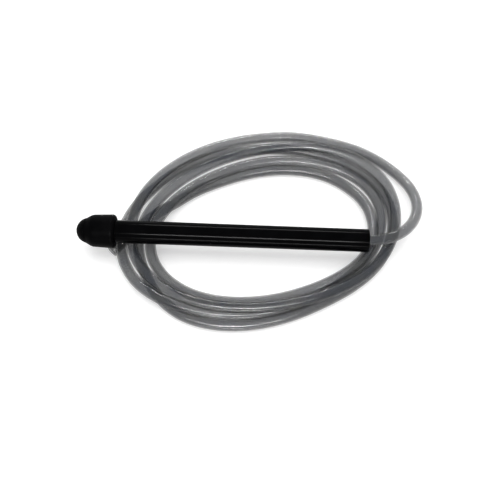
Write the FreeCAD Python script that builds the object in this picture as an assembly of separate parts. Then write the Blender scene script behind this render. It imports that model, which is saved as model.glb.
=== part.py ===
import FreeCAD, Part
import math
import os

from FreeCAD import Vector

# Hand pump for gear oil, lying across its own coiled hose.
# Millimetres. X runs along the barrel, from the domed foot (-X) to the open mouth (+X).
# Z is up. The origin is the middle of the pump, on the barrel's axis.

# Fits between pieces
RUNNING = 0.06            # radial gap of a part that slides in another
SEATED = 0.05             # radial gap of a part pushed or screwed into another
HELD = 0.15               # gap round a part that is held between two others
VALVE_GAP = 0.15          # gap between a closed ball and its seat
SPRING_GAP = 0.1          # gap between a spring's end and its ball
PAST = 1.0                # how far a cutting tool reaches past what it cuts

# Barrel
BARREL_OD = 25.4
BARREL_BORE = 21.4
BARREL_FOOT_X = -137.9    # end held in the collar
BARREL_MOUTH_X = 160.0
MOUTH_CHAMFER = 0.5
CLIP_GROOVE_DEPTH = 0.8
CLIP_GROOVE_SPARE = 0.2   # groove's width beyond the clip's thickness

# Foot: dome, collar and what they clamp
INLET_MOUTH_X = -160.0    # rim of the inlet, the pump's end
DOME_RADIUS = 14.1
DOME_WALL = 3.0
DOME_FLANGE_RADIUS = 16.2
DOME_FLANGE = 2.6
DOME_RIM_X = -141.0       # face that presses on the gasket
DOME_LINE_X = -151.4      # fine line turned round the dome
DOME_LINE_WIDTH = 0.6
DOME_LINE_DEPTH = 1.3
INLET_RADIUS = 3.5
INLET_BOSS_RADIUS = 5.8
INLET_LENGTH = 6.0
COLLAR_LEFT_X = -148.3
COLLAR_RIGHT_X = -117.2
COLLAR_LIP = 0.3          # width of the collar's face round the dome
COLLAR_LEFT_RADIUS = 17.8
COLLAR_RIGHT_RADIUS = 18.6
COLLAR_CHAMFER_LENGTH = 4.8
COLLAR_CHAMFER_RADIUS = 17.1
COLLAR_LEFT_SHOULDER = 8.4
COLLAR_RIGHT_SHOULDER = 4.3
COLLAR_REAR_FACE_RADIUS = 15.0
COLLAR_THREAD_STEP = 1.0  # the thread starts this far behind the barrel's end
GASKET_THICKNESS = 1.6
STRAINER_RADIUS = 11.6
STRAINER_THICKNESS = 1.0
STRAINER_HOLE_RADIUS = 0.9
STRAINER_RINGS = [(3.4, 6), (6.6, 12)]    # radius of each ring of holes, and their number

# Foot valve
SEAT_FLANGE = 1.5
SEAT_LENGTH = 7.5
SEAT_HOLE_RADIUS = 3.0
SEAT_CONE_RADIUS = 6.1
FOOT_BALL_RADIUS = 4.76
CAGE_LENGTH = 15.0
CAGE_BORE_RADIUS = 5.2
CAGE_MOUTH_LENGTH = 2.0
CAGE_END_WALL = 2.5
CAGE_WINDOWS = 4
CAGE_WINDOW_START = 3.0
CAGE_WINDOW_LENGTH = 8.0
CAGE_WINDOW_WIDTH = 6.0
CAGE_WINDOW_DEPTH = 4.0
CAGE_WINDOW_FLOOR = 4.4   # from the axis to where a window's tool starts
CAGE_PORT_RADIUS = 1.6
CAGE_PORT_CIRCLE = 6.8
CAGE_VENT_RADIUS = 1.8
SPRING_WIRE_FLATS = 8
FOOT_SPRING_RADIUS = 3.0
FOOT_SPRING_WIRE = 0.6
FOOT_SPRING_TURNS = 5

# Piston
PISTON_LEFT_X = -112.0
PISTON_RIGHT_X = -90.0
PISTON_RADIUS = 10.35
PISTON_CHAMFER = 0.8
PISTON_SEAT_DEPTH = 2.5   # from the piston's face to its ball seat
PISTON_HOLE_RADIUS = 2.6
PISTON_CHAMBER_RADIUS = 5.5
PISTON_BALL_RADIUS = 3.97
CUP_X = -109.6
CUP_WIDTH = 4.4
CUP_INNER_RADIUS = 7.6
CUP_GROOVE_PLAY = 0.1
CUP_LIP = 0.5             # thickness of a lip at its edge
CUP_LIP_BLUNT = 0.3
CUP_VALLEY_DEPTH = 2.4
CUP_HEEL_LENGTH = 1.5
CUP_HEEL_RELIEF = 0.35
GUIDE_RING_X = -100.6
GUIDE_RING_WIDTH = 4.0
GUIDE_RING_INNER_RADIUS = 8.8
GUIDE_RING_PLAY = 0.05
PISTON_SPRING_RADIUS = 2.9
PISTON_SPRING_WIRE = 0.5
PISTON_SPRING_TURNS = 5
PIN_X = -93.6
PIN_RADIUS = 1.0
PIN_INSET = 0.2           # the pin's ends lie this far inside the piston
BUMPER_LENGTH = 4.0
BUMPER_RADIUS = 9.8
BUMPER_CHAMFER = 1.0

# Hollow rod, its bush and the hose fitting
ROD_OD = 12.7
ROD_BORE = 8.4
ROD_LEFT_X = -100.0
ROD_RIGHT_X = 135.0
ROD_CHAMFER = 0.4
ROD_SOCKET_RADIUS = 5.2
ROD_SOCKET_DEPTH = 12.0
BUSH_LEFT_X = 116.0
BUSH_RIGHT_X = 132.8
VENT_SLOTS = 4
VENT_SLOT_WIDTH = 2.4
VENT_SLOT_DEPTH = 1.2
WIPER_DEPTH = 3.0
WIPER_RADIUS = 9.0
WIPER_LIP = 0.8           # length of the slope that leads to the wiping edge
WIPER_RELIEF = 0.3
CLIP_THICKNESS = 1.2
CLIP_PLAY = 0.1
CLIP_BAND = 1.4           # how far the clip stands inside the barrel's bore
CLIP_GAP_ANGLE = 44.0
CLIP_LUG_ANGLE = 7.0      # from the gap's edge to a lug's eye
CLIP_LUG_INSET = 1.7
CLIP_LUG_RADIUS = 1.5
CLIP_EYE_RADIUS = 0.7
HEX_ACROSS_FLATS = 14.0
HEX_LEFT_X = 136.0
HEX_RIGHT_X = 140.5
BARB_RIGHT_X = 157.0
BARB_STEM_RADIUS = 4.6
BARB_RIDGE_RADIUS = 5.1
BARB_RIDGES = 3
BARB_NECK = 2.0           # plain stem between the hexagon and the first ridge
BARB_RIDGE_GAP = 1.2      # plain stem between two ridges
BARB_TIP_TAPER = 0.6
BARB_BORE_RADIUS = 3.3
BARB_SPIGOT_PLAY = 0.5    # from the spigot's end to the bottom of the rod's socket

# Hose
HOSE_OD = 12.7
HOSE_ID = 9.525
COIL_HEIGHT = 25.0        # two layers of turns, the upper resting between the lower
COIL_TOP_Z = -13.0
COIL_EDGE_ROUND = 11.8
COIL_OUTER = {"centre": (42.9, 31.0), "long": 166.2, "short": 126.5, "tilt": 18.0}
COIL_INNER = {"centre": (44.4, 16.8), "long": 121.9, "short": 74.9, "tilt": 13.9}
OVAL_END_FULLNESS = 1.09  # end radius of a four-arc oval, against that of an ellipse
CORNER_SHARE = 0.45       # share of a route's shorter run that each rounded corner takes
FLOOR_Z = COIL_TOP_Z - COIL_HEIGHT
LYING_Z = FLOOR_Z + HOSE_OD / 2

# The hose from its fitting to the coil: out of the mouth, round to the right and down
LEAD_ROUTE = [
    (HEX_RIGHT_X, 0.0, 0.0),
    (174.0, 0.0, 0.0),
    (203.0, 7.0, -4.5),
    (222.0, 31.0, -13.0),
    (225.5, 62.0, -21.5),
    (214.5, 91.0, -28.5),
    (191.0, 116.0, LYING_Z),
    (159.0, 136.5, LYING_Z),
    (126.0, 147.0, LYING_Z),
]

# The hose's last stretch, from inside the coil to its bare end beside the collar
TAIL_ROUTE = [
    (-62.0, 49.0, LYING_Z),
    (-84.0, 32.0, LYING_Z),
    (-106.0, 13.0, LYING_Z),
    (-127.0, -7.0, LYING_Z),
]

# Places that follow from the sizes above
DOME_CENTRE_X = INLET_MOUTH_X + math.sqrt(DOME_RADIUS ** 2 - INLET_RADIUS ** 2)
FOOT_SEAT_LEFT_X = DOME_RIM_X + GASKET_THICKNESS
FOOT_SEAT_RIGHT_X = FOOT_SEAT_LEFT_X + SEAT_LENGTH
FOOT_CONE_X = FOOT_SEAT_RIGHT_X - (SEAT_CONE_RADIUS - SEAT_HOLE_RADIUS)
CAGE_RIGHT_X = FOOT_SEAT_RIGHT_X + CAGE_LENGTH
CAGE_WALL_X = CAGE_RIGHT_X - CAGE_END_WALL
PISTON_CONE_X = PISTON_LEFT_X + PISTON_SEAT_DEPTH

X_AXIS = Vector(1, 0, 0)
ORIGIN = Vector(0, 0, 0)


def turned(outline):
    """A solid turned about the X axis from an outline of (x, radius) points.

    A point marked with a third value is the middle of an arc between its neighbours."""
    edges = []
    count = len(outline)
    place = 0
    while place < count:
        start = Vector(outline[place][0], 0, outline[place][1])
        middle = outline[(place + 1) % count]
        if len(middle) == 3:
            end = outline[(place + 2) % count]
            through = Vector(middle[0], 0, middle[1])
            edges.append(Part.Arc(start, through, Vector(end[0], 0, end[1])).toShape())
            place += 2
        else:
            edges.append(Part.LineSegment(start, Vector(middle[0], 0, middle[1])).toShape())
            place += 1
    face = Part.Face(Part.Wire(edges))
    return face.revolve(ORIGIN, X_AXIS, 360)


def rod_along_x(radius, left, right, y=0.0, z=0.0):
    return Part.makeCylinder(radius, right - left, Vector(left, y, z), X_AXIS)


def washer(outer, inner, left, right):
    return rod_along_x(outer, left, right).cut(rod_along_x(inner, left - PAST, right + PAST))


def round_x(shape, step, count):
    """Copies of a shape, evenly turned about the X axis."""
    copies = []
    for number in range(count):
        copy = shape.copy()
        copy.rotate(ORIGIN, X_AXIS, step * number)
        copies.append(copy)
    return copies


def coil_spring(radius, wire, turns, left, right):
    """An open compression spring along X. Its wire has flats in place of its round surface."""
    active = right - left - wire
    helix = Part.makeHelix(active / turns, active, radius)
    corners = []
    for number in range(SPRING_WIRE_FLATS + 1):
        angle = 2 * math.pi * number / SPRING_WIRE_FLATS
        corners.append(Vector(radius + wire / 2 * math.cos(angle), 0, wire / 2 * math.sin(angle)))
    winding = Part.Wire(helix).makePipeShell([Part.makePolygon(corners)], True, True)
    winding.rotate(ORIGIN, Vector(0, 1, 0), 90)
    winding.translate(Vector(left + wire / 2, 0, 0))
    return winding


def ball_centre_x(cone_x, hole_radius, ball_radius):
    """Centre of a ball that lies, but for the valve gap, in a 45 degree seat.

    The seat widens from hole_radius at cone_x."""
    touch = ball_radius * math.sqrt(0.5)
    return cone_x + (touch - hole_radius) + touch + VALVE_GAP * math.sqrt(2)


def corner_arc(before, corner, after):
    """The arc that rounds a corner of a route: its start, its middle and its end."""
    run_in = (before - corner).Length
    run_out = (after - corner).Length
    to_before = (before - corner).normalize()
    to_after = (after - corner).normalize()
    turn = math.pi - to_before.getAngle(to_after)
    shorter = min(run_in, run_out)
    reach = CORNER_SHARE * shorter
    radius = reach / math.tan(turn / 2)
    start = corner + to_before * reach
    end = corner + to_after * reach
    inward = (to_before + to_after).normalize()
    middle = corner + inward * (radius / math.cos(turn / 2) - radius)
    return start, middle, end


def hose_path(route):
    """Straight runs joined by tangent arcs, as one wire."""
    points = [Vector(*point) for point in route]
    edges = []
    here = points[0]
    for number in range(1, len(points) - 1):
        start, middle, end = corner_arc(points[number - 1], points[number], points[number + 1])
        edges.append(Part.LineSegment(here, start).toShape())
        edges.append(Part.Arc(start, middle, end).toShape())
        here = end
    edges.append(Part.LineSegment(here, points[-1]).toShape())
    return Part.Wire(edges)


def swept(route, diameter):
    """A solid round rod along a route."""
    start = Vector(*route[0])
    along = (Vector(*route[1]) - start).normalize()
    section = Part.Wire(Part.makeCircle(diameter / 2, start, along))
    return hose_path(route).makePipeShell([section], True, False)


def hose_tube(route):
    return swept(route, HOSE_OD).cut(swept(route, HOSE_ID))


def oval_disc(oval, height, floor):
    """An upright oval cylinder of four tangent arcs, close to an ellipse."""
    end_radius = OVAL_END_FULLNESS * oval["short"] ** 2 / oval["long"]
    end_centre = Vector(oval["long"] - end_radius, 0, 0)
    spare = oval["short"] - end_radius
    side_radius = (end_centre.x ** 2 + oval["short"] ** 2 - end_radius ** 2) / (2 * spare)
    side_centre = Vector(0, oval["short"] - side_radius, 0)
    joint = end_centre + (end_centre - side_centre).normalize() * end_radius
    top_right = Vector(joint.x, joint.y, 0)
    top_left = Vector(-joint.x, joint.y, 0)
    low_left = Vector(-joint.x, -joint.y, 0)
    low_right = Vector(joint.x, -joint.y, 0)
    arcs = [
        Part.Arc(top_right, Vector(0, oval["short"], 0), top_left),
        Part.Arc(top_left, Vector(-oval["long"], 0, 0), low_left),
        Part.Arc(low_left, Vector(0, -oval["short"], 0), low_right),
        Part.Arc(low_right, Vector(oval["long"], 0, 0), top_right),
    ]
    edges = [arc.toShape() for arc in arcs]
    disc = Part.Face(Part.Wire(edges)).extrude(Vector(0, 0, height))
    disc.rotate(ORIGIN, Vector(0, 0, 1), oval["tilt"])
    disc.translate(Vector(oval["centre"][0], oval["centre"][1], floor))
    return disc


# ---- Barrel and foot ----

def barrel():
    outer = BARREL_OD / 2
    bore = BARREL_BORE / 2
    tube = turned([
        (BARREL_FOOT_X, bore),
        (BARREL_FOOT_X, outer),
        (BARREL_MOUTH_X - MOUTH_CHAMFER, outer),
        (BARREL_MOUTH_X, outer - MOUTH_CHAMFER),
        (BARREL_MOUTH_X, bore + MOUTH_CHAMFER),
        (BARREL_MOUTH_X - MOUTH_CHAMFER, bore),
    ])
    groove_right = BUSH_RIGHT_X + CLIP_THICKNESS + CLIP_GROOVE_SPARE
    groove = washer(bore + CLIP_GROOVE_DEPTH, bore - PAST, BUSH_RIGHT_X, groove_right)
    return tube.cut(groove)


def foot_dome():
    """A hollow dome with an inlet at its tip and a flange that the collar holds."""
    inner = DOME_RADIUS - DOME_WALL
    outside = Part.makeSphere(DOME_RADIUS, Vector(DOME_CENTRE_X, 0, 0))
    skirt = rod_along_x(DOME_RADIUS, DOME_CENTRE_X, DOME_RIM_X)
    flange = rod_along_x(DOME_FLANGE_RADIUS, DOME_RIM_X - DOME_FLANGE, DOME_RIM_X)
    keep = rod_along_x(2 * DOME_RADIUS, INLET_MOUTH_X - DOME_RADIUS, DOME_RIM_X)
    hollow = Part.makeSphere(inner, Vector(DOME_CENTRE_X, 0, 0))
    chamber = rod_along_x(inner, DOME_CENTRE_X, DOME_RIM_X + PAST)
    step_left = DOME_RIM_X - STRAINER_THICKNESS - SEATED
    strainer_step = rod_along_x(STRAINER_RADIUS + SEATED, step_left, DOME_RIM_X + PAST)
    shell = outside.fuse([skirt, flange]).common(keep).cut(hollow.fuse([chamber, strainer_step]))
    boss_right = INLET_MOUTH_X + INLET_LENGTH
    boss = rod_along_x(INLET_BOSS_RADIUS, INLET_MOUTH_X + DOME_WALL / 2, boss_right)
    inlet = rod_along_x(INLET_RADIUS, INLET_MOUTH_X - PAST, boss_right + PAST)
    line_depth = DOME_RADIUS - DOME_LINE_DEPTH
    line = washer(DOME_RADIUS + PAST, line_depth, DOME_LINE_X, DOME_LINE_X + DOME_LINE_WIDTH)
    return shell.fuse(boss).cut(inlet).cut(line)


def collar_nut():
    """Widens a little towards the barrel. Its front is a chamfer that runs down to the dome."""
    bore = DOME_RADIUS + HELD
    pocket = DOME_FLANGE_RADIUS + HELD
    thread = BARREL_OD / 2 + SEATED
    pocket_left = DOME_RIM_X - DOME_FLANGE
    pocket_right = BARREL_FOOT_X + COLLAR_THREAD_STEP
    chamfer_x = COLLAR_LEFT_X + COLLAR_CHAMFER_LENGTH
    left_x = COLLAR_LEFT_X + COLLAR_LEFT_SHOULDER
    right_x = COLLAR_RIGHT_X - COLLAR_RIGHT_SHOULDER
    left_bulge = (COLLAR_CHAMFER_RADIUS + 2 * COLLAR_LEFT_RADIUS) / 3
    right_bulge = (COLLAR_REAR_FACE_RADIUS + 3 * COLLAR_RIGHT_RADIUS) / 4
    return turned([
        (COLLAR_LEFT_X, bore),
        (COLLAR_LEFT_X, bore + COLLAR_LIP),
        (chamfer_x, COLLAR_CHAMFER_RADIUS),
        ((chamfer_x + left_x) / 2, left_bulge, "arc"),
        (left_x, COLLAR_LEFT_RADIUS),
        (right_x, COLLAR_RIGHT_RADIUS),
        ((right_x + 2 * COLLAR_RIGHT_X) / 3, right_bulge, "arc"),
        (COLLAR_RIGHT_X, COLLAR_REAR_FACE_RADIUS),
        (COLLAR_RIGHT_X, thread),
        (pocket_right, thread),
        (pocket_right, pocket),
        (pocket_left, pocket),
        (pocket_left, bore),
    ])


def collar_gasket():
    left = DOME_RIM_X
    return washer(DOME_FLANGE_RADIUS, BARREL_BORE / 2, left, left + GASKET_THICKNESS)


def intake_strainer():
    left = DOME_RIM_X - STRAINER_THICKNESS
    disc = rod_along_x(STRAINER_RADIUS, left, DOME_RIM_X)
    holes = [rod_along_x(STRAINER_HOLE_RADIUS, left - PAST, DOME_RIM_X + PAST)]
    for ring_radius, count in STRAINER_RINGS:
        hole = rod_along_x(STRAINER_HOLE_RADIUS, left - PAST, DOME_RIM_X + PAST, ring_radius)
        holes += round_x(hole, 360 / count, count)
    return disc.cut(holes)


def foot_seat():
    left = FOOT_SEAT_LEFT_X
    right = FOOT_SEAT_RIGHT_X
    body = BARREL_BORE / 2 - SEATED
    cone = SEAT_CONE_RADIUS - SEAT_HOLE_RADIUS
    return turned([
        (left, SEAT_HOLE_RADIUS),
        (left, BARREL_OD / 2),
        (left + SEAT_FLANGE, BARREL_OD / 2),
        (left + SEAT_FLANGE, body),
        (right, body),
        (right, SEAT_CONE_RADIUS),
        (right - cone, SEAT_HOLE_RADIUS),
    ])


def foot_ball_x():
    return ball_centre_x(FOOT_CONE_X, SEAT_HOLE_RADIUS, FOOT_BALL_RADIUS)


def foot_ball():
    return Part.makeSphere(FOOT_BALL_RADIUS, Vector(foot_ball_x(), 0, 0))


def foot_cage():
    left = FOOT_SEAT_RIGHT_X
    outer = BARREL_BORE / 2 - SEATED
    body = rod_along_x(outer, left, CAGE_RIGHT_X)
    start = Vector(left, 0, 0)
    mouth = Part.makeCone(SEAT_CONE_RADIUS, CAGE_BORE_RADIUS, CAGE_MOUTH_LENGTH, start, X_AXIS)
    bore = rod_along_x(CAGE_BORE_RADIUS, left, CAGE_WALL_X)
    corner = Vector(left + CAGE_WINDOW_START, -CAGE_WINDOW_WIDTH / 2, CAGE_WINDOW_FLOOR)
    window = Part.makeBox(CAGE_WINDOW_LENGTH, CAGE_WINDOW_WIDTH, CAGE_WINDOW_DEPTH, corner)
    windows = round_x(window, 360 / CAGE_WINDOWS, CAGE_WINDOWS)
    end_wall = (CAGE_WALL_X - PAST, CAGE_RIGHT_X + PAST)
    port = rod_along_x(CAGE_PORT_RADIUS, *end_wall, 0.0, CAGE_PORT_CIRCLE)
    ports = round_x(port, 360 / CAGE_WINDOWS, CAGE_WINDOWS)
    vent = rod_along_x(CAGE_VENT_RADIUS, *end_wall)
    return body.cut([mouth, bore, vent] + windows + ports)


def foot_spring():
    reach = math.sqrt(FOOT_BALL_RADIUS ** 2 - FOOT_SPRING_RADIUS ** 2)
    left = foot_ball_x() + reach + SPRING_GAP
    return coil_spring(FOOT_SPRING_RADIUS, FOOT_SPRING_WIRE, FOOT_SPRING_TURNS, left, CAGE_WALL_X)


# ---- Piston and rod ----

def pin_hole():
    """The hole across the piston and the rod that the pin goes through."""
    start = Vector(PIN_X, -PISTON_RADIUS - PAST, 0)
    return Part.makeCylinder(PIN_RADIUS + SEATED, 2 * (PISTON_RADIUS + PAST), start, Vector(0, 1, 0))


def piston_head():
    rod_fit = ROD_OD / 2 + SEATED
    blank = turned([
        (PISTON_LEFT_X, PISTON_HOLE_RADIUS),
        (PISTON_LEFT_X, PISTON_RADIUS - PISTON_CHAMFER),
        (PISTON_LEFT_X + PISTON_CHAMFER, PISTON_RADIUS),
        (PISTON_RIGHT_X - PISTON_CHAMFER, PISTON_RADIUS),
        (PISTON_RIGHT_X, PISTON_RADIUS - PISTON_CHAMFER),
        (PISTON_RIGHT_X, rod_fit),
        (ROD_LEFT_X, rod_fit),
        (ROD_LEFT_X, PISTON_CHAMBER_RADIUS),
        (PISTON_CONE_X + PISTON_CHAMBER_RADIUS - PISTON_HOLE_RADIUS, PISTON_CHAMBER_RADIUS),
        (PISTON_CONE_X, PISTON_HOLE_RADIUS),
    ])
    outer = PISTON_RADIUS + PAST
    cup_left = CUP_X - CUP_GROOVE_PLAY
    cup_right = CUP_X + CUP_WIDTH + CUP_GROOVE_PLAY
    cup_groove = washer(outer, CUP_INNER_RADIUS - SEATED, cup_left, cup_right)
    ring_left = GUIDE_RING_X - GUIDE_RING_PLAY
    ring_right = GUIDE_RING_X + GUIDE_RING_WIDTH + GUIDE_RING_PLAY
    ring_groove = washer(outer, GUIDE_RING_INNER_RADIUS - SEATED, ring_left, ring_right)
    return blank.cut([cup_groove, ring_groove, pin_hole()])


def piston_cup():
    """A U-cup: its open side faces the foot, so that pressure spreads the lips."""
    left = CUP_X
    right = CUP_X + CUP_WIDTH
    wall = BARREL_BORE / 2 - RUNNING
    middle = (CUP_INNER_RADIUS + wall) / 2
    return turned([
        (right, CUP_INNER_RADIUS),
        (left + CUP_LIP_BLUNT, CUP_INNER_RADIUS),
        (left, CUP_INNER_RADIUS + CUP_LIP),
        (left + CUP_VALLEY_DEPTH, middle),
        (left, wall - CUP_LIP),
        (left + CUP_LIP_BLUNT, wall),
        (right - CUP_HEEL_LENGTH, wall),
        (right, wall - CUP_HEEL_RELIEF),
    ])


def piston_guide_ring():
    outer = BARREL_BORE / 2 - RUNNING
    return washer(outer, GUIDE_RING_INNER_RADIUS, GUIDE_RING_X, GUIDE_RING_X + GUIDE_RING_WIDTH)


def piston_ball_x():
    return ball_centre_x(PISTON_CONE_X, PISTON_HOLE_RADIUS, PISTON_BALL_RADIUS)


def piston_ball():
    return Part.makeSphere(PISTON_BALL_RADIUS, Vector(piston_ball_x(), 0, 0))


def piston_spring():
    reach = math.sqrt(PISTON_BALL_RADIUS ** 2 - PISTON_SPRING_RADIUS ** 2)
    left = piston_ball_x() + reach + SPRING_GAP
    right = PIN_X - PIN_RADIUS
    return coil_spring(PISTON_SPRING_RADIUS, PISTON_SPRING_WIRE, PISTON_SPRING_TURNS, left, right)


def piston_pin():
    reach = PISTON_RADIUS - PIN_INSET
    return Part.makeCylinder(PIN_RADIUS, 2 * reach, Vector(PIN_X, -reach, 0), Vector(0, 1, 0))


def rod_bumper():
    left = PISTON_RIGHT_X
    inner = ROD_OD / 2 + SEATED
    return turned([
        (left, inner),
        (left, BUMPER_RADIUS),
        (left + BUMPER_LENGTH - BUMPER_CHAMFER, BUMPER_RADIUS),
        (left + BUMPER_LENGTH, BUMPER_RADIUS - BUMPER_CHAMFER),
        (left + BUMPER_LENGTH, inner),
    ])


def hollow_rod():
    outer = ROD_OD / 2
    bore = ROD_BORE / 2
    tube = turned([
        (ROD_LEFT_X, bore),
        (ROD_LEFT_X, outer - ROD_CHAMFER),
        (ROD_LEFT_X + ROD_CHAMFER, outer),
        (ROD_RIGHT_X - ROD_CHAMFER, outer),
        (ROD_RIGHT_X, outer - ROD_CHAMFER),
        (ROD_RIGHT_X, ROD_SOCKET_RADIUS),
        (ROD_RIGHT_X - ROD_SOCKET_DEPTH, ROD_SOCKET_RADIUS),
        (ROD_RIGHT_X - ROD_SOCKET_DEPTH, bore),
    ])
    return tube.cut(pin_hole())


def rod_bush():
    """Guides the rod and lets the air behind the piston in and out through its slots."""
    outer = BARREL_BORE / 2 - SEATED
    bore = ROD_OD / 2 + RUNNING
    body = turned([
        (BUSH_LEFT_X, bore),
        (BUSH_LEFT_X, outer),
        (BUSH_RIGHT_X, outer),
        (BUSH_RIGHT_X, WIPER_RADIUS),
        (BUSH_RIGHT_X - WIPER_DEPTH, WIPER_RADIUS),
        (BUSH_RIGHT_X - WIPER_DEPTH, bore),
    ])
    length = BUSH_RIGHT_X - BUSH_LEFT_X + 2 * PAST
    corner = Vector(BUSH_LEFT_X - PAST, -VENT_SLOT_WIDTH / 2, outer - VENT_SLOT_DEPTH)
    slot = Part.makeBox(length, VENT_SLOT_WIDTH, VENT_SLOT_DEPTH + PAST, corner)
    return body.cut(round_x(slot, 360 / VENT_SLOTS, VENT_SLOTS))


def rod_wiper():
    left = BUSH_RIGHT_X - WIPER_DEPTH
    inner = ROD_OD / 2 + RUNNING
    return turned([
        (left, inner + WIPER_RELIEF),
        (left, WIPER_RADIUS - SEATED),
        (BUSH_RIGHT_X, WIPER_RADIUS - SEATED),
        (BUSH_RIGHT_X, inner + WIPER_LIP),
        (BUSH_RIGHT_X - WIPER_LIP, inner),
        (left + WIPER_LIP, inner),
    ])


def bush_clip():
    """Internal retaining ring: an open ring with a drilled lug at each side of its gap."""
    left = BUSH_RIGHT_X + CLIP_PLAY
    right = left + CLIP_THICKNESS
    bore = BARREL_BORE / 2
    outer = bore + CLIP_GROOVE_DEPTH - SEATED
    ring = washer(outer, bore - CLIP_BAND, left, right)
    half_gap = math.radians(CLIP_GAP_ANGLE / 2)
    reach = 2 * outer
    side = reach * math.tan(half_gap)
    gap = Part.makePolygon([
        Vector(left - PAST, 0, 0),
        Vector(left - PAST, side, reach),
        Vector(left - PAST, -side, reach),
        Vector(left - PAST, 0, 0),
    ])
    wedge = Part.Face(gap).extrude(Vector(CLIP_THICKNESS + 2 * PAST, 0, 0))
    lugs = []
    eyes = []
    for side_sign in (-1, 1):
        angle = side_sign * (half_gap + math.radians(CLIP_LUG_ANGLE))
        y = math.sin(angle) * (bore - CLIP_LUG_INSET)
        z = math.cos(angle) * (bore - CLIP_LUG_INSET)
        lugs.append(rod_along_x(CLIP_LUG_RADIUS, left, right, y, z))
        eyes.append(rod_along_x(CLIP_EYE_RADIUS, left - PAST, right + PAST, y, z))
    return ring.cut(wedge).fuse(lugs).cut(eyes)


def barb_outline():
    """The barbed stem as an outline round the X axis; it starts inside the hexagon."""
    pitch = (BARB_RIGHT_X - HEX_RIGHT_X - BARB_NECK) / BARB_RIDGES
    start = HEX_RIGHT_X - PAST
    outline = [(start, 0.0), (start, BARB_STEM_RADIUS)]
    for number in range(BARB_RIDGES):
        ridge = HEX_RIGHT_X + BARB_NECK + pitch * number
        outline.append((ridge, BARB_STEM_RADIUS))
        outline.append((ridge, BARB_RIDGE_RADIUS))
        outline.append((ridge + pitch - BARB_RIDGE_GAP, BARB_STEM_RADIUS))
    outline.append((BARB_RIGHT_X, BARB_STEM_RADIUS - BARB_TIP_TAPER))
    outline.append((BARB_RIGHT_X, 0.0))
    return outline


def hose_barb():
    """Hexagon, a spigot into the rod on one side and barbs for the hose on the other."""
    socket_end = ROD_RIGHT_X - ROD_SOCKET_DEPTH
    spigot_left = socket_end + BARB_SPIGOT_PLAY
    spigot = rod_along_x(ROD_SOCKET_RADIUS - SEATED, spigot_left, HEX_LEFT_X + PAST)
    corner = HEX_ACROSS_FLATS / math.sqrt(3)
    corners = []
    for number in range(7):
        angle = math.radians(60 * number)
        corners.append(Vector(HEX_LEFT_X, corner * math.cos(angle), corner * math.sin(angle)))
    hexagon = Part.Face(Part.makePolygon(corners)).extrude(Vector(HEX_RIGHT_X - HEX_LEFT_X, 0, 0))
    bore = rod_along_x(BARB_BORE_RADIUS, socket_end, BARB_RIGHT_X + PAST)
    return hexagon.fuse([spigot, turned(barb_outline())]).cut(bore)


def barb_gasket():
    return washer(ROD_OD / 2, ROD_SOCKET_RADIUS, ROD_RIGHT_X, HEX_LEFT_X)


# ---- Hose ----

def hose_coil():
    """The outer shape of all the turns, with a channel for the hose's bare end."""
    outer = oval_disc(COIL_OUTER, COIL_HEIGHT, FLOOR_Z)
    inner = oval_disc(COIL_INNER, COIL_HEIGHT + 2 * PAST, FLOOR_Z - PAST)
    band = outer.cut(inner)
    rims = [edge for edge in band.Edges if edge.BoundBox.ZLength < COIL_HEIGHT / 2]
    return band.makeFillet(COIL_EDGE_ROUND, rims).cut(swept(TAIL_ROUTE, HOSE_OD))


def main():
    os.makedirs("parts", exist_ok=True)
    pieces = {
        "barrel": barrel(),
        "foot_dome": foot_dome(),
        "collar_nut": collar_nut(),
        "collar_gasket": collar_gasket(),
        "intake_strainer": intake_strainer(),
        "foot_seat": foot_seat(),
        "foot_ball": foot_ball(),
        "foot_cage": foot_cage(),
        "foot_spring": foot_spring(),
        "piston_head": piston_head(),
        "piston_cup": piston_cup(),
        "piston_guide_ring": piston_guide_ring(),
        "piston_ball": piston_ball(),
        "piston_spring": piston_spring(),
        "piston_pin": piston_pin(),
        "rod_bumper": rod_bumper(),
        "hollow_rod": hollow_rod(),
        "rod_bush": rod_bush(),
        "rod_wiper": rod_wiper(),
        "bush_clip": bush_clip(),
        "hose_barb": hose_barb(),
        "barb_gasket": barb_gasket(),
        "hose_lead": hose_tube(LEAD_ROUTE),
        "hose_coil": hose_coil(),
        "hose_tail": hose_tube(TAIL_ROUTE),
    }
    for name, shape in pieces.items():
        solids = len(shape.Solids)
        print(name, "solids", solids, "valid", shape.isValid(), "volume", round(shape.Volume, 1))
        shape.exportStep("parts/" + name + ".step")


main()
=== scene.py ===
import math

import bpy
from mathutils import Matrix, Vector


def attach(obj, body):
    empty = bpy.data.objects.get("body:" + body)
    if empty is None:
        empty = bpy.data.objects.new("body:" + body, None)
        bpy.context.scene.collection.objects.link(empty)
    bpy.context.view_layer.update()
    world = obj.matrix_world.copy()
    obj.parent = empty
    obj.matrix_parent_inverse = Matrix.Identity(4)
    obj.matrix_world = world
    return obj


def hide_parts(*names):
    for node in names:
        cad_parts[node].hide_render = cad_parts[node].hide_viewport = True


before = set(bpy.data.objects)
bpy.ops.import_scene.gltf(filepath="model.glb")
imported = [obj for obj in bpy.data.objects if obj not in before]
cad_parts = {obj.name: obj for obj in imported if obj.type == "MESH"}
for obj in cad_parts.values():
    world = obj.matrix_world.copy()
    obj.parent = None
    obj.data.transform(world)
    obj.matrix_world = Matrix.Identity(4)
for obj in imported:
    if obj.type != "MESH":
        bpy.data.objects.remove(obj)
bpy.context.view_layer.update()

# ---------------------------------------------------------------------------
# The hose. All sizes are in metres. The barrel lies along X, over the coil.
# ---------------------------------------------------------------------------
HOSE_RADIUS = 0.00635
HOSE_BORE_RADIUS = 0.0047625
HOSE_SIDES = 28           # flats round the hose
STEPS_PER_POINT = 8       # steps of the centreline between two points of its route
LYING_Z = -0.03165        # centreline's height where the hose lies on the floor
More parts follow.
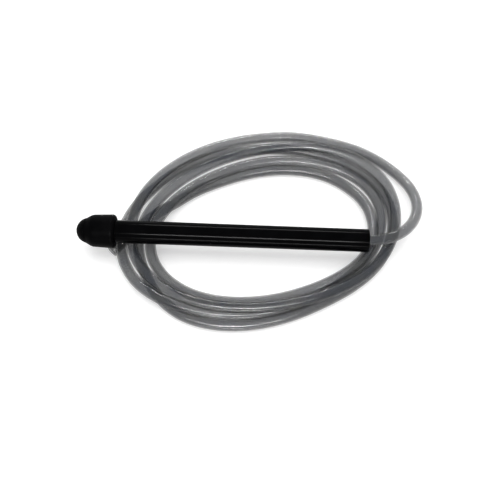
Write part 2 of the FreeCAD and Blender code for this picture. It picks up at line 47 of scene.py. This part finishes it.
FLOOR_Z = LYING_Z - HOSE_RADIUS

# From the barrel's mouth round the free loop to the coil.
LEAD_ROUTE = [
    (0.1405, 0.0, 0.0),
    (0.166, 0.0, 0.0),
    (0.192, 0.008, -0.0035),
    (0.2125, 0.027, -0.0095),
    (0.2225, 0.054, -0.017),
    (0.217, 0.083, -0.0245),
    (0.200, 0.107, -0.030),
    (0.177, 0.126, LYING_Z),
    (0.147, 0.141, LYING_Z),
]
# From the last turn to the cut end.
TAIL_ROUTE = [
    (-0.074, 0.045, LYING_Z),
    (-0.090, 0.030, LYING_Z),
    (-0.107, 0.012, LYING_Z),
    (-0.1255, -0.0105, LYING_Z),
]

# The outermost turn is about an oval seen from above; the others lie inside it.
OVAL_CENTRE = (0.0421, 0.0313)
OVAL_LONG = 0.1602
OVAL_SHORT = 0.1172
OVAL_TILT = math.radians(17.6)
FIRST_ANGLE = 45
STATION_STEP = 30
POINTS_PER_STATION = 2
# Each turn, at 45, 75, 105 ... 15 degrees round the oval: how far inside the oval the
# hose is seen, and how far the turns under it lift it off the floor, in mm.
TURNS = [
    [(-3.3, 0), (0.9, 2), (0, 8), (1.8, 12), (8.8, 12), (16, 12),
     (18.8, 12), (18.8, 13.3), (12, 13.8), (1.5, 12.3), (1.5, 12), (4, 12)],
    [(10, 12), (18.3, 12), (21.5, 11), (21.5, 12), (19, 9), (13, 0),
     (-3, 0), (-2.4, 0), (2.4, 0), (-1.6, 0), (3, 0), (13.5, 0)],
    [(19.5, 0), (17, 0), (10, 0), (4.8, 0), (-2.4, 4.5), (0.2, 8),
     (8.5, 8), (10, 4), (11.5, 2), (12, 0), (16.5, 2), (25, 5)],
    [(32.5, 7), (35.3, 7), (37.5, 8), (36.4, 12), (33, 12), (28.7, 6),
     (24.2, 0), (23.7, 0), (21.7, 5), (17, 12), (30, 5), (41.7, 0)],
    [(45, 0), (47, 0), (46.8, 0), (38, 0)],
]
MM = 0.001
# From the camera a lifted turn is seen further back, so it is drawn this much nearer per
# metre of lift.
SET_NEARER = 0.466

# ---------------------------------------------------------------------------
# How the materials look
# ---------------------------------------------------------------------------
DRIFT_SCALE = 60.0        # noise that a solid material's colour and roughness drift by
VINYL_DRIFT_SCALE = 45.0
DRIFT_LOW = 0.35          # values of the noise that give the two colours
DRIFT_HIGH = 0.65
ROUGHNESS_DRIFT = 0.15    # share by which the roughness drifts each way
GRAIN_SCALE = 900.0
GRAIN_DEPTH = 0.0002
RIPPLE_PITCH = 0.0033     # ripple along the vinyl hose
RIPPLE_DEPTH = 0.0003
RIPPLE_ROUGHNESS = (0.07, 0.20)
VINYL_IOR = 1.5
EDGE_SHEEN_ROUGHNESS = 0.16

# ---------------------------------------------------------------------------
# Sizes and places of the floor, lamps and camera
# ---------------------------------------------------------------------------
FLOOR_HALF = 3.0
FLOOR_DROP = 0.0001       # keeps the floor's face clear of the hose's underside
FLOOR_GREY = 0.80
FLOOR_ROUGHNESS = 0.9
FLOOR_GLOW = 0.38         # brings the lit floor up to white where it is seen
FLOOR_GLOW_FAR = 0.60     # the same, out where the box lights it less
FLOOR_LIT_WITHIN = 0.5
FLOOR_DIM_BEYOND = 2.2
WORLD_FILL = 0.60
WORLD_SEEN = 1.0

STRIP_LENGTH = 0.62
STRIP_DISTANCE = 1.3
STRIP_MIDDLE = 0.036      # x of the middle of each lamp
# Name, elevation in degrees, width and radiance of each strip.
STRIPS = [
    ("front_strip", 46.6, 0.10, 110.0),
    ("back_strip", 147.6, 0.10, 38.0),
    ("low_strip", 2.5, 0.08, 46.0),
]
BOX_ELEVATION = 96
BOX_DISTANCE = 1.6
BOX_SIZE = (1.6, 1.2)
BOX_RADIANCE = 3.7

CAMERA_ELEVATION = math.radians(65)
CAMERA_ROLL = math.radians(2.10)
CAMERA_TARGET = Vector((0.03048, -0.01640, -0.00028))
CAMERA_DISTANCE = 0.7947
CAMERA_CLIP = (0.01, 20.0)
SENSOR_WIDTH = 36.0       # mm
FOCAL_PIXELS = 730.0
PHOTO_WIDTH = 500.0       # pixels


# ---------------------------------------------------------------------------
# Materials
# ---------------------------------------------------------------------------
def new_material(name):
    made = bpy.data.materials.new(name)
    made.use_nodes = True
    tree = made.node_tree
    return made, tree.nodes, tree.links, tree.nodes["Principled BSDF"]


def noise_over(nodes, links, scale, detail):
    """Noise fixed to the object."""
    place = nodes.new("ShaderNodeTexCoord")
    noise = nodes.new("ShaderNodeTexNoise")
    noise.inputs["Scale"].default_value = scale
    noise.inputs["Detail"].default_value = detail
    links.new(place.outputs["Object"], noise.inputs["Vector"])
    return noise.outputs["Fac"]


def map_range(nodes, links, value, read, give):
    """The value, with the range it is read in stretched to the range to give."""
    mapped = nodes.new("ShaderNodeMapRange")
    mapped.inputs["From Min"].default_value = read[0]
    mapped.inputs["From Max"].default_value = read[1]
    mapped.inputs["To Min"].default_value = give[0]
    mapped.inputs["To Max"].default_value = give[1]
    links.new(value, mapped.inputs["Value"])
    return mapped.outputs["Result"]


def drift_colour(nodes, links, shader, noise, dark, light):
    """The colour drifts between two tones with the noise."""
    ramp = nodes.new("ShaderNodeValToRGB")
    ends = ramp.color_ramp.elements
    ends[0].position = DRIFT_LOW
    ends[0].color = (*dark, 1)
    ends[1].position = DRIFT_HIGH
    ends[1].color = (*light, 1)
    links.new(noise, ramp.inputs["Fac"])
    links.new(ramp.outputs["Color"], shader.inputs["Base Color"])


def add_bump(nodes, links, shader, height, strength, depth):
    bump = nodes.new("ShaderNodeBump")
    bump.inputs["Strength"].default_value = strength
    bump.inputs["Distance"].default_value = depth
    links.new(height, bump.inputs["Height"])
    links.new(bump.outputs["Normal"], shader.inputs["Normal"])


def mottled(name, dark, light, roughness, metallic=0.0, specular=0.5, grain=0.0):
    """A solid material whose colour and roughness drift a little, with an optional fine grain."""
    made, nodes, links, shader = new_material(name)
    noise = noise_over(nodes, links, DRIFT_SCALE, 3.0)
    drift_colour(nodes, links, shader, noise, dark, light)
    rougher = (1 + ROUGHNESS_DRIFT) * roughness
    smoother = (1 - ROUGHNESS_DRIFT) * roughness
    drifting = map_range(nodes, links, noise, (0.3, 0.7), (smoother, rougher))
    links.new(drifting, shader.inputs["Roughness"])
    shader.inputs["Metallic"].default_value = metallic
    shader.inputs["Specular IOR Level"].default_value = specular
    if grain:
        fine = noise_over(nodes, links, GRAIN_SCALE, 2.0)
        add_bump(nodes, links, shader, fine, grain, GRAIN_DEPTH)
    return made


def ripple_wave(nodes, links):
    """A sine wave along the hose, from the length that its mesh holds at each point."""
    along = nodes.new("ShaderNodeAttribute")
    along.attribute_name = "along"
    turn = nodes.new("ShaderNodeMath")
    turn.operation = "MULTIPLY"
    turn.inputs[1].default_value = 2 * math.pi / RIPPLE_PITCH
    links.new(along.outputs["Fac"], turn.inputs[0])
    sine = nodes.new("ShaderNodeMath")
    sine.operation = "SINE"
    links.new(turn.outputs["Value"], sine.inputs[0])
    return sine.outputs["Value"]


def vinyl(name, dark, light, alpha, specular, sheen, ripple):
    """Clear vinyl, with the fine ripple that drawing the tube leaves along it."""
    made, nodes, links, shader = new_material(name)
    noise = noise_over(nodes, links, VINYL_DRIFT_SCALE, 2.0)
    drift_colour(nodes, links, shader, noise, dark, light)
    shader.inputs["Alpha"].default_value = alpha
    shader.inputs["IOR"].default_value = VINYL_IOR
    shader.inputs["Specular IOR Level"].default_value = specular
    shader.inputs["Sheen Weight"].default_value = sheen
    shader.inputs["Sheen Roughness"].default_value = EDGE_SHEEN_ROUGHNESS
    wave = ripple_wave(nodes, links)
    gloss = map_range(nodes, links, wave, (-1.0, 0.8), RIPPLE_ROUGHNESS)
    links.new(gloss, shader.inputs["Roughness"])
    add_bump(nodes, links, shader, wave, ripple, RIPPLE_DEPTH)
    return made


def black_tube():
    dark, light = (0.0006, 0.0006, 0.0008), (0.0012, 0.0012, 0.0015)
    return mottled("barrel_black_gloss", dark, light, 0.12, specular=0.018)


def black_moulding():
    dark, light = (0.0008, 0.0008, 0.001), (0.0018, 0.0018, 0.0021)
    return mottled("foot_black_satin", dark, light, 0.38, specular=0.012, grain=0.3)


def rubber():
    dark, light = (0.010, 0.010, 0.010), (0.018, 0.018, 0.018)
    return mottled("seal_rubber_black", dark, light, 0.75, grain=0.4)


def ball_steel():
    dark, light = (0.55, 0.56, 0.58), (0.66, 0.67, 0.68)
    return mottled("valve_steel_polished", dark, light, 0.12, metallic=1.0)


def wire_steel():
    dark, light = (0.42, 0.43, 0.45), (0.56, 0.57, 0.58)
    return mottled("spring_steel_bright", dark, light, 0.28, metallic=1.0)


def brass():
    dark, light = (0.45, 0.31, 0.12), (0.55, 0.40, 0.18)
    return mottled("fitting_brass_turned", dark, light, 0.36, metallic=1.0)


def aluminium():
    dark, light = (0.26, 0.27, 0.28), (0.34, 0.35, 0.36)
    return mottled("rod_aluminium_drawn", dark, light, 0.55, metallic=1.0)


def pale_plastic():
    return mottled("guide_plastic_pale", (0.62, 0.60, 0.54), (0.72, 0.70, 0.64), 0.45)


def grey_plastic():
    return mottled("piston_plastic_grey", (0.16, 0.17, 0.18), (0.22, 0.23, 0.24), 0.45)


def clear_vinyl_outside():
    dark, light = (0.022, 0.025, 0.030), (0.058, 0.058, 0.050)
    return vinyl("clear_vinyl_outside", dark, light, 0.46, 0.9, 0.5, 0.25)


def clear_vinyl_bore():
    dark, light = (0.012, 0.024, 0.066), (0.022, 0.034, 0.076)
    return vinyl("clear_vinyl_bore", dark, light, 0.29, 0.1, 0.0, 0.0)


# The CAD nodes that wear each material.
WORN_BY = [
    (black_tube, ["barrel"]),
    (black_moulding, ["foot_dome", "collar_nut"]),
    (rubber, ["collar_gasket", "piston_cup", "rod_bumper", "rod_wiper", "barb_gasket"]),
    (wire_steel, ["intake_strainer", "foot_spring", "piston_spring", "piston_pin", "bush_clip"]),
    (brass, ["foot_seat", "hose_barb"]),
    (ball_steel, ["foot_ball", "piston_ball"]),
    (pale_plastic, ["foot_cage", "piston_guide_ring", "rod_bush"]),
    (grey_plastic, ["piston_head"]),
    (aluminium, ["hollow_rod"]),
]


def dress_cad_nodes():
    for make_material, names in WORN_BY:
        material = make_material()
        for name in names:
            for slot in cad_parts[name].material_slots:
                slot.material = material


# ---------------------------------------------------------------------------
# The hose
# ---------------------------------------------------------------------------
def oval_point(angle_degrees, inward, lift):
    """A point inside the outermost turn's oval, and above the height where the hose lies."""
    angle = math.radians(angle_degrees)
    out = Vector((OVAL_LONG * math.cos(angle), OVAL_SHORT * math.sin(angle)))
    heading = Vector((-OVAL_LONG * math.sin(angle), OVAL_SHORT * math.cos(angle))).normalized()
    turn = Matrix.Rotation(OVAL_TILT, 2)
    point = turn @ (out + inward * Vector((-heading.y, heading.x)))
    return (
        OVAL_CENTRE[0] + point.x,
        OVAL_CENTRE[1] + point.y - SET_NEARER * lift,
        LYING_Z + lift,
    )


def smooth_between(rows, place):
    """Inward and lift at a place between the rows, on a smooth curve through them."""
    index = int(place)
    share = place - index
    before, here, there, after = (
        rows[max(0, min(len(rows) - 1, index + k))] for k in (-1, 0, 1, 2)
    )
    blended = []
    for k in (0, 1):
        leave = (there[k] - before[k]) / 2
        arrive = (after[k] - here[k]) / 2
        blended.append(
            (2 * share**3 - 3 * share**2 + 1) * here[k]
            + (share**3 - 2 * share**2 + share) * leave
            + (3 * share**2 - 2 * share**3) * there[k]
            + (share**3 - share**2) * arrive
        )
    return blended


def coil_points():
    rows = [row for turn in TURNS for row in turn]
    points = []
    for k in range(1, (len(rows) - 1) * POINTS_PER_STATION + 1):
        place = k / POINTS_PER_STATION
        inward, lift = smooth_between(rows, place)
        lift = max(0.0, lift)
        points.append(oval_point(FIRST_ANGLE + STATION_STEP * place, inward * MM, lift * MM))
    return points


def hose_centreline():
    """Points along the hose, read from one open NURBS spline through the whole route."""
    curve = bpy.data.curves.new("hose_route", "CURVE")
    curve.dimensions = "3D"
    curve.resolution_u = STEPS_PER_POINT
    spline = curve.splines.new("NURBS")
    route = LEAD_ROUTE + coil_points() + TAIL_ROUTE
    spline.points.add(len(route) - 1)
    for point, place in zip(spline.points, route):
        point.co = (*place, 1)
    spline.order_u = 3
    spline.use_endpoint_u = True
    spline.resolution_u = STEPS_PER_POINT
    carrier = bpy.data.objects.new("hose_route", curve)
    line = bpy.data.meshes.new_from_object(carrier)
    points = [v.co.copy() for v in line.vertices]
    bpy.data.objects.remove(carrier)
    bpy.data.meshes.remove(line)
    bpy.data.curves.remove(curve)
    return points


def frames_along(points):
    """A steady pair of side directions at each point, carried along without twist."""
    sides = []
    side = Vector((0, 1, 0))
    for k, point in enumerate(points):
        ahead = points[min(k + 1, len(points) - 1)]
        behind = points[max(k - 1, 0)]
        heading = (ahead - behind).normalized()
        side = (side - heading * side.dot(heading)).normalized()
        sides.append((side.copy(), heading.cross(side)))
    return sides


def lengths_along(points):
    total = 0.0
    lengths = [0.0]
    for here, there in zip(points, points[1:]):
        total += (there - here).length
        lengths.append(total)
    return lengths


def hose_corners(points):
    """A ring of corners round each point, first for the outside and then for the bore."""
    sides = frames_along(points)
    corners = []
    for radius in (HOSE_RADIUS, HOSE_BORE_RADIUS):
        for point, (side, other) in zip(points, sides):
            for k in range(HOSE_SIDES):
                angle = 2 * math.pi * k / HOSE_SIDES
                out = side * (radius * math.cos(angle)) + other * (radius * math.sin(angle))
                corners.append(tuple(point + out))
    return corners


def flats_round(ring):
    """Each pair of neighbouring corners in a ring."""
    for k in range(HOSE_SIDES):
        yield ring * HOSE_SIDES + k, ring * HOSE_SIDES + (k + 1) % HOSE_SIDES


def outside_faces(rings):
    return [
        (a, b, b + HOSE_SIDES, a + HOSE_SIDES)
        for ring in range(rings - 1)
        for a, b in flats_round(ring)
    ]


def bore_faces(rings):
    return [
        (b, a, a + HOSE_SIDES, b + HOSE_SIDES)
        for ring in range(rings, 2 * rings - 1)
        for a, b in flats_round(ring)
    ]


def cut_end_faces(rings):
    """The flat ring of vinyl at each cut end, between the outside and the bore."""
    to_bore = rings * HOSE_SIDES
    start = [(a, a + to_bore, b + to_bore, b) for a, b in flats_round(0)]
    end = [(b, b + to_bore, a + to_bore, a) for a, b in flats_round(rings - 1)]
    return start + end


def hose_mesh(points):
    rings = len(points)
    outside = outside_faces(rings)
    bore = bore_faces(rings)
    mesh = bpy.data.meshes.new("hose")
    mesh.from_pydata(hose_corners(points), [], outside + bore + cut_end_faces(rings))
    mesh.materials.append(clear_vinyl_outside())
    mesh.materials.append(clear_vinyl_bore())
    rounded = len(outside) + len(bore)
    for k, polygon in enumerate(mesh.polygons):
        polygon.use_smooth = k < rounded
        polygon.material_index = 1 if len(outside) <= k < rounded else 0
    marks = mesh.attributes.new("along", "FLOAT", "POINT")
    round_hose = [length for length in lengths_along(points) for _ in range(HOSE_SIDES)]
    marks.data.foreach_set("value", round_hose + round_hose)
    return mesh


def make_hose():
    points = hose_centreline()
    hose = bpy.data.objects.new("hose", hose_mesh(points))
    bpy.context.scene.collection.objects.link(hose)
    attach(hose, "rod_and_hose")
    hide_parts("hose_lead", "hose_coil", "hose_tail")


# ---------------------------------------------------------------------------
# Floor, light and camera
# ---------------------------------------------------------------------------
def rays_that_show_it(nodes, links):
    """1 where the background is seen, straight, in a gleam or through glass; 0 where it lights."""
    path = nodes.new("ShaderNodeLightPath")
    shown = path.outputs["Is Camera Ray"]
    for kind in ("Is Glossy Ray", "Is Transmission Ray"):
        either = nodes.new("ShaderNodeMath")
        either.operation = "MAXIMUM"
        links.new(shown, either.inputs[0])
        links.new(path.outputs[kind], either.inputs[1])
        shown = either.outputs["Value"]
    return shown


def floor_glow(nodes, links):
    """A glow only where the floor is seen, and stronger where the lamps light it less."""
    place = nodes.new("ShaderNodeTexCoord")
    distance = nodes.new("ShaderNodeVectorMath")
    distance.operation = "LENGTH"
    links.new(place.outputs["Object"], distance.inputs[0])
    reach = (FLOOR_LIT_WITHIN, FLOOR_DIM_BEYOND)
    glows = (FLOOR_GLOW, FLOOR_GLOW_FAR)
    level = map_range(nodes, links, distance.outputs["Value"], reach, glows)
    strength = nodes.new("ShaderNodeMath")
    strength.operation = "MULTIPLY"
    links.new(rays_that_show_it(nodes, links), strength.inputs[0])
    links.new(level, strength.inputs[1])
    glow = nodes.new("ShaderNodeEmission")
    glow.inputs["Color"].default_value = (1, 1, 1, 1)
    links.new(strength.outputs["Value"], glow.inputs["Strength"])
    return glow.outputs["Emission"]


def floor_white():
    made, nodes, links, shader = new_material("floor_white")
    shader.inputs["Base Color"].default_value = (FLOOR_GREY, FLOOR_GREY, FLOOR_GREY, 1)
    shader.inputs["Roughness"].default_value = FLOOR_ROUGHNESS
    shader.inputs["Specular IOR Level"].default_value = 0.0
    add = nodes.new("ShaderNodeAddShader")
    links.new(shader.outputs["BSDF"], add.inputs[0])
    links.new(floor_glow(nodes, links), add.inputs[1])
    links.new(add.outputs["Shader"], nodes["Material Output"].inputs["Surface"])
    return made


def make_floor():
    half = FLOOR_HALF
    z = FLOOR_Z - FLOOR_DROP
    corners = [(-half, -half, z), (half, -half, z), (half, half, z), (-half, half, z)]
    mesh = bpy.data.meshes.new("floor")
    mesh.from_pydata(corners, [], [(0, 1, 2, 3)])
    mesh.materials.append(floor_white())
    floor = bpy.data.objects.new("floor", mesh)
    bpy.context.scene.collection.objects.link(floor)


def make_world():
    world = bpy.data.worlds.new("studio")
    world.use_nodes = True
    nodes = world.node_tree.nodes
    links = world.node_tree.links
    back = nodes["Background"]
    back.inputs["Color"].default_value = (1, 1, 1, 1)
    strength = nodes.new("ShaderNodeMix")
    strength.data_type = "FLOAT"
    strength.inputs[2].default_value = WORLD_FILL
    strength.inputs[3].default_value = WORLD_SEEN
    links.new(rays_that_show_it(nodes, links), strength.inputs[0])
    links.new(strength.outputs[0], back.inputs["Strength"])
    bpy.context.scene.world = world


def make_lamp(name, elevation, distance, length, width, radiance):
    """A lamp parallel to the barrel, aimed at it. Elevation runs from the front over the top."""
    angle = math.radians(elevation)
    away = Vector((0, -math.cos(angle), math.sin(angle)))
    data = bpy.data.lights.new(name, "AREA")
    data.shape = "RECTANGLE"
    data.size = length
    data.size_y = width
    data.energy = radiance * math.pi * length * width
    lamp = bpy.data.objects.new(name, data)
    lamp.location = away * distance + Vector((STRIP_MIDDLE, 0, 0))
    across = Vector((1, 0, 0))
    lamp.rotation_euler = Matrix((across, away.cross(across), away)).transposed().to_euler()
    bpy.context.scene.collection.objects.link(lamp)
    return lamp


def make_lights():
    """Thin strips that make only the gleams on the barrel and hose; the box lights the rest."""
    for name, elevation, width, radiance in STRIPS:
        strip = make_lamp(name, elevation, STRIP_DISTANCE, STRIP_LENGTH, width, radiance)
        strip.visible_diffuse = False
    box = make_lamp("top_box", BOX_ELEVATION, BOX_DISTANCE, *BOX_SIZE, BOX_RADIANCE)
    box.visible_glossy = False


def make_camera():
    data = bpy.data.cameras.new("camera")
    data.sensor_width = SENSOR_WIDTH
    data.sensor_fit = "HORIZONTAL"
    data.lens = FOCAL_PIXELS / PHOTO_WIDTH * SENSOR_WIDTH
    data.clip_start, data.clip_end = CAMERA_CLIP
    camera = bpy.data.objects.new("camera", data)
    bpy.context.scene.collection.objects.link(camera)
    level = Vector((1, 0, 0))
    forward = Vector((0, math.cos(CAMERA_ELEVATION), -math.sin(CAMERA_ELEVATION)))
    upright = level.cross(forward)
    right = math.cos(CAMERA_ROLL) * level + math.sin(CAMERA_ROLL) * upright
    up = math.cos(CAMERA_ROLL) * upright - math.sin(CAMERA_ROLL) * level
    place = CAMERA_TARGET - CAMERA_DISTANCE * forward
    turn = Matrix((right, up, -forward)).transposed().to_4x4()
    camera.matrix_world = Matrix.Translation(place) @ turn
    bpy.context.scene.camera = camera


dress_cad_nodes()
make_hose()
make_floor()
make_world()
make_lights()
make_camera()
bpy.context.scene.view_settings.view_transform = "Standard"
